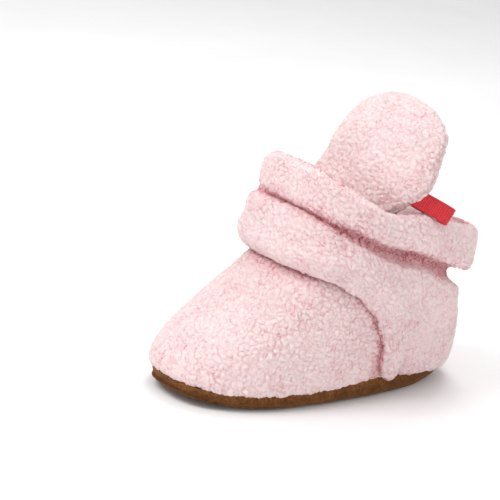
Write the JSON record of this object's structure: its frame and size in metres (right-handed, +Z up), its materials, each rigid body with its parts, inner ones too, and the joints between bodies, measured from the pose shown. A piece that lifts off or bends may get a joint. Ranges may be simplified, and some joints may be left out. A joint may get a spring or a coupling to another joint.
{
  "type": "baby bootie",
  "caption": "Soft fleece baby bootie with a suede sole, a padded ankle wrap of overlapping flaps, a tall padded tongue and a folded side label.",
  "frame": {"origin": "on the ground under the middle of the sole", "axes": "+Z up, -Y to the toe, +Y to the heel, +X to the outer side of the foot, where the label is"},
  "size_m": [0.0734, 0.121, 0.1014],
  "materials": {
    "fleece": "curly sherpa fleece, matte",
    "lining": "short brushed pile, matte",
    "suede": "suede nap, matte",
    "foam": "soft open-cell foam",
    "batting": "loose fibre wadding",
    "thread": "spun thread",
    "elastic": "braided elastic",
    "hook_tape": "moulded hooks, satin",
    "loop_tape": "brushed loops",
    "label": "woven satin ribbon"
  },
  "bodies": {
    "root": {"outsole": "suede", "midsole_pad": "foam", "insole": "lining", "sole_seam_thread": "thread", "vamp_shell": "fleece", "vamp_lining": "lining", "quarter_lateral": "fleece", "quarter_medial": "fleece", "quarter_lining": "lining", "back_elastic": "elastic"},
    "outer_flap": {"outer_flap_shell": "fleece", "outer_flap_lining": "lining", "outer_flap_elastic": "elastic", "hook_tape": "hook_tape"},
    "inner_flap": {"inner_flap_shell": "fleece", "inner_flap_lining": "lining", "loop_tape": "loop_tape"},
    "tongue": {"tongue_front": "fleece", "tongue_back": "fleece", "tongue_batting": "batting"},
    "label": {"side_label": "label"}
  },
  "joints": [
    {"name": "outer_flap_open", "type": "hinge", "parent": "root", "child": "outer_flap", "pos_m": [0.0335, 0.006, 0.06], "axis": [0, 0, 1], "range_deg": [0, 120]},
    {"name": "inner_flap_open", "type": "hinge", "parent": "root", "child": "inner_flap", "pos_m": [-0.0335, 0.006, 0.06], "axis": [0, 0, 1], "range_deg": [-90, 0]},
    {"name": "tongue_fold", "type": "hinge", "parent": "root", "child": "tongue", "pos_m": [0, -0.007, 0.0435], "axis": [1, 0, 0], "range_deg": [0, 60]},
    {"name": "label_flex", "type": "hinge", "parent": "tongue", "child": "label", "pos_m": [0.0258, 0.015, 0.0709], "axis": [0, 0.5446, 0.8387], "range_deg": [-45, 40]}
  ],
  "couplings": [
    {"joint": "inner_flap_open", "follows": "outer_flap_open", "ratio": -0.75},
    {"joint": "tongue_fold", "follows": "outer_flap_open", "ratio": 0.5}
  ]
}
